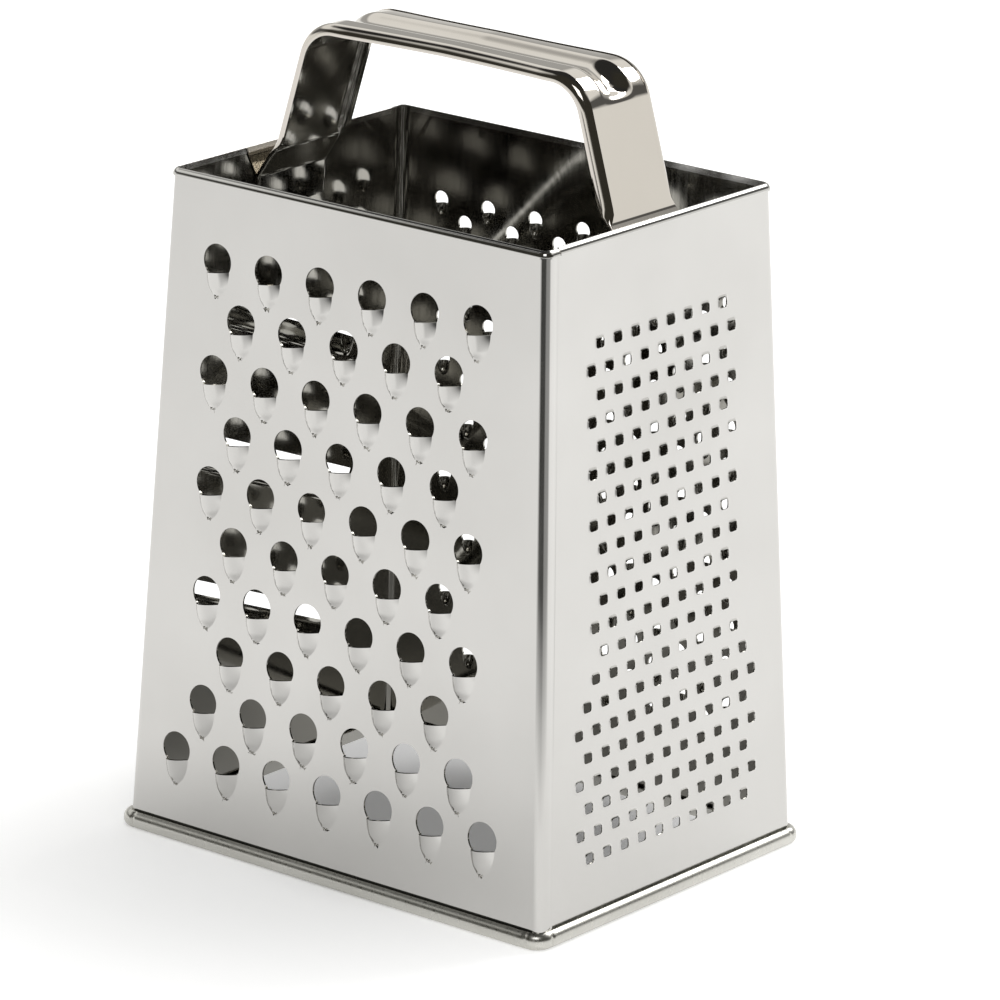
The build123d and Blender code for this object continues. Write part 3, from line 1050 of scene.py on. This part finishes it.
def makeFloor():
    bm = bmesh.new()
    bmesh.ops.create_grid(bm, x_segments=1, y_segments=1, size=studio["floorSize"] / 2)
    floor = newPiece("floor", bm)
    material = bpy.data.materials.new("paleFloor")
    material.use_nodes = True
    nodes, links = material.node_tree.nodes, material.node_tree.links
    shader = nodes["Principled BSDF"]
    shader.inputs["Roughness"].default_value = studio["floorRoughness"]
    place = nodes.new("ShaderNodeTexCoord").outputs["Object"]
    rays = nodes.new("ShaderNodeLightPath")
    length = nodes.new("ShaderNodeVectorMath")
    length.operation = "LENGTH"
    links.new(place, length.inputs[0])
    reach = length.outputs["Value"]

    left = farLight(nodes, links, place, reach, rays)
    # painted shade: the floor's colour runs to the shade colour far off on the camera's side
    colour = nodes.new("ShaderNodeMix")
    colour.data_type = "RGBA"
    colour.inputs["A"].default_value = studio["shade"]
    colour.inputs["B"].default_value = studio["floorColour"]
    links.new(left, colour.inputs["Factor"])
    links.new(colour.outputs["Result"], shader.inputs["Base Color"])

    # painted light: the floor glows, with a painted shadow round the object
    glow = nodes.new("ShaderNodeEmission")
    lifted = floorLift(nodes, links, place, reach, rays)
    links.new(joined(nodes, links, "MULTIPLY", lifted, left), glow.inputs["Strength"])
    both = nodes.new("ShaderNodeAddShader")
    links.new(shader.outputs[0], both.inputs[0])
    links.new(glow.outputs[0], both.inputs[1])
    links.new(both.outputs[0], nodes["Material Output"].inputs["Surface"])
    floor.data.materials.append(material)


def makeWorld():
    world = bpy.data.worlds.new("studio")
    bpy.context.scene.world = world
    world.use_nodes = True
    nodes, links = world.node_tree.nodes, world.node_tree.links
    backdrop = nodes["Background"]
    place = nodes.new("ShaderNodeTexCoord")
    split = nodes.new("ShaderNodeSeparateXYZ")
    links.new(place.outputs["Generated"], split.inputs[0])
    height = mapped(nodes, links, split.outputs["Z"], -1.0, 1.0, False)
    facing = nodes.new("ShaderNodeVectorMath")
    facing.operation = "DOT_PRODUCT"
    facing.inputs[1].default_value = studio["darkSide"]
    links.new(place.outputs["Generated"], facing.inputs[0])

    def mixed(factor, first, second):
        mix = nodes.new("ShaderNodeMix")
        mix.data_type = "RGBA"
        links.new(factor, mix.inputs["Factor"])
        for socket, value in ((mix.inputs["A"], first), (mix.inputs["B"], second)):
            if isinstance(value, tuple):
                socket.default_value = value
            else:
                links.new(value, socket)
        return mix.outputs["Result"]

    backLeft, backRight = addRamp(nodes, studio["backLeft"]), addRamp(nodes, studio["backRight"])
    links.new(height, backLeft.inputs["Fac"])
    links.new(height, backRight.inputs["Fac"])
    toRight = mapped(nodes, links, facing.outputs["Value"], studio["leftEnd"], studio["rightStart"])
    back = mixed(toRight, backLeft.outputs["Color"], backRight.outputs["Color"])
    inDark = joined(nodes, links, "MULTIPLY",
                    mapped(nodes, links, facing.outputs["Value"], studio["darkStart"], studio["darkEnd"]),
                    mapped(nodes, links, height, studio["darkLow"], studio["darkHigh"]))
    sky = mixed(inDark, back, studio["dark"])
    rays = nodes.new("ShaderNodeLightPath")
    mirrored = joined(nodes, links, "MAXIMUM",
                      rays.outputs["Is Glossy Ray"], rays.outputs["Is Transmission Ray"])
    light = mixed(mirrored, studio["diffuseSky"], sky)
    links.new(mixed(rays.outputs["Is Camera Ray"], light, studio["seenSky"]), backdrop.inputs["Color"])


lamps = {
    "key": {"at": (0.3, 1.35, 1.38), "size": 0.75, "power": 11.0},
    "fill": {"at": (0.7, -1.0, 1.4), "size": 0.8, "power": 5.0},
}
lampAim = 0.09    # height that both lamps point at


def makeLamps():
    for name, lamp in lamps.items():
        light = bpy.data.lights.new(name, "AREA")
        light.energy = lamp["power"]
        light.size = lamp["size"]
        holder = bpy.data.objects.new(name, light)
        holder.location = lamp["at"]
        aim = Vector((0, 0, lampAim)) - Vector(lamp["at"])
        holder.rotation_euler = aim.to_track_quat("-Z", "Y").to_euler()
        bpy.context.scene.collection.objects.link(holder)


camera = {
    "at": (938.57, -1160.14, 549.67),
    "azimuth": 38.66,
    "elevation": 17.32,
    "roll": 1.12,
    "focalPixels": 6573.0,
    "framePixels": 1000.0,
    "sensor": 36.0,
    "reach": 20.0,           # metres
}


def makeCamera():
    az, el, roll = (math.radians(camera[key]) for key in ("azimuth", "elevation", "roll"))
    right = Vector((math.cos(az), math.sin(az), 0))
    back = Vector((math.sin(az) * math.cos(el), -math.cos(az) * math.cos(el), math.sin(el)))
    up = back.cross(right)
    across = math.cos(roll) * right + math.sin(roll) * up
    upward = -math.sin(roll) * right + math.cos(roll) * up
    lens = bpy.data.cameras.new("camera")
    lens.sensor_width = camera["sensor"]
    lens.lens = camera["focalPixels"] / camera["framePixels"] * camera["sensor"]
    lens.clip_end = camera["reach"]
    holder = bpy.data.objects.new("camera", lens)
    matrix = Matrix((across, upward, back)).transposed().to_4x4()
    matrix.translation = Vector(camera["at"]) * mm
    holder.matrix_world = matrix
    bpy.context.scene.collection.objects.link(holder)
    bpy.context.scene.camera = holder


makeFloor()
makeWorld()
makeLamps()
makeCamera()
bpy.context.scene.view_settings.view_transform = "Standard"
print("studio set")
